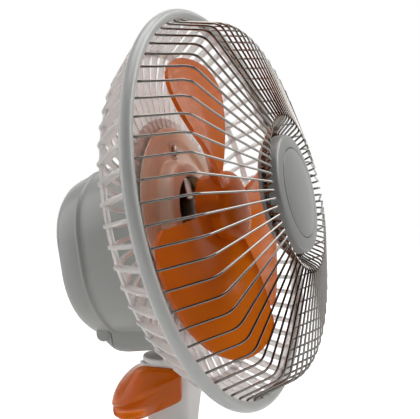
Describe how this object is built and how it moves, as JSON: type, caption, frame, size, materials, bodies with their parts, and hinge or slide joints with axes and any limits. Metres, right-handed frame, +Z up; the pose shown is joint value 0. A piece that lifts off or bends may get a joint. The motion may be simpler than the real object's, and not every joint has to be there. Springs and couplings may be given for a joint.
{
  "type": "clip fan",
  "caption": "Small clip fan with a round wire-guarded head, three orange blades, a tilting motor housing and a sprung clamp stand.",
  "frame": {"origin": "centre of the footprint of the whole fan, on the supporting surface under the lower jaw", "axes": "+X to the fan's far side, -Y the way the fan blows, +Z up"},
  "size_m": [0.181, 0.1198, 0.2624],
  "materials": {
    "white_plastic": "smooth moulded white plastic, slightly glossy",
    "milky_plastic": "thin translucent white moulding, glossy",
    "orange_plastic": "smooth glossy orange plastic",
    "chrome_wire": "bright plated wire",
    "steel": "plain machined steel",
    "grey_plastic": "smooth grey plastic, slightly glossy",
    "rubber": "matt black rubber",
    "black_plastic": "fine matt black plastic",
    "copper_winding": "varnished copper wire"
  },
  "bodies": {
    "base": {"neck": "white_plastic", "upper_lever": "orange_plastic", "upper_pad": "rubber", "clamp_pin": "steel", "clamp_pin_cap": "steel", "clamp_spring": "steel", "switch_body": "black_plastic", "cord_inlet": "rubber", "swivel_washer": "steel"},
    "lower_clamp": {"lower_jaw": "white_plastic", "lower_pad": "rubber", "lower_lever": "orange_plastic", "lever_screw": "steel"},
    "rocker": {"switch_rocker": "black_plastic"},
    "swivel": {"swivel_post": "white_plastic", "swivel_clip": "steel"},
    "head": {"rim_band": "white_plastic", "rear_guard": "milky_plastic", "front_guard": "chrome_wire", "badge": "grey_plastic", "badge_clamp": "grey_plastic", "badge_screw": "steel", "motor_cover": "milky_plastic", "front_shell": "white_plastic", "rear_cover": "white_plastic", "cover_screw_1": "steel", "cover_screw_2": "steel", "cover_screw_3": "steel", "stator_core": "steel", "winding_front": "copper_winding", "winding_rear": "copper_winding", "front_bridge": "steel", "rear_bridge": "steel", "front_bearing": "steel", "rear_bearing": "steel", "tilt_pin": "steel", "tilt_pin_cap": "steel", "friction_washer_near": "rubber", "friction_washer_far": "rubber"},
    "rotor": {"fan_blades": "orange_plastic", "motor_shaft": "steel", "rotor_core": "steel"}
  },
  "joints": [
    {"name": "clamp_hinge", "type": "hinge", "parent": "base", "child": "lower_clamp", "pos_m": [0, 0.01637, 0.029], "axis": [1, 0, 0], "range_deg": [0, 30], "stiffness_Nm_per_rad": 0.9, "springref_deg": -40.11, "deforming": ["clamp_spring"]},
    {"name": "switch_press", "type": "hinge", "parent": "base", "child": "rocker", "pos_m": [0, -0.01913, 0.0366], "axis": [1, 0, 0], "range_deg": [0, 12]},
    {"name": "swivel_turn", "type": "hinge", "parent": "base", "child": "swivel", "pos_m": [0, 0.00837, 0.1013], "axis": [0, 0, 1], "range_deg": [-90, 90]},
    {"name": "head_tilt", "type": "hinge", "parent": "swivel", "child": "head", "pos_m": [0, 0.00837, 0.118], "axis": [1, 0, 0], "range_deg": [-7, 10]},
    {"name": "rotor_spin", "type": "hinge", "parent": "head", "child": "rotor", "pos_m": [0, -0.02152, 0.1736], "axis": [0, -0.9822, 0.1877], "continuous": true}
  ]
}
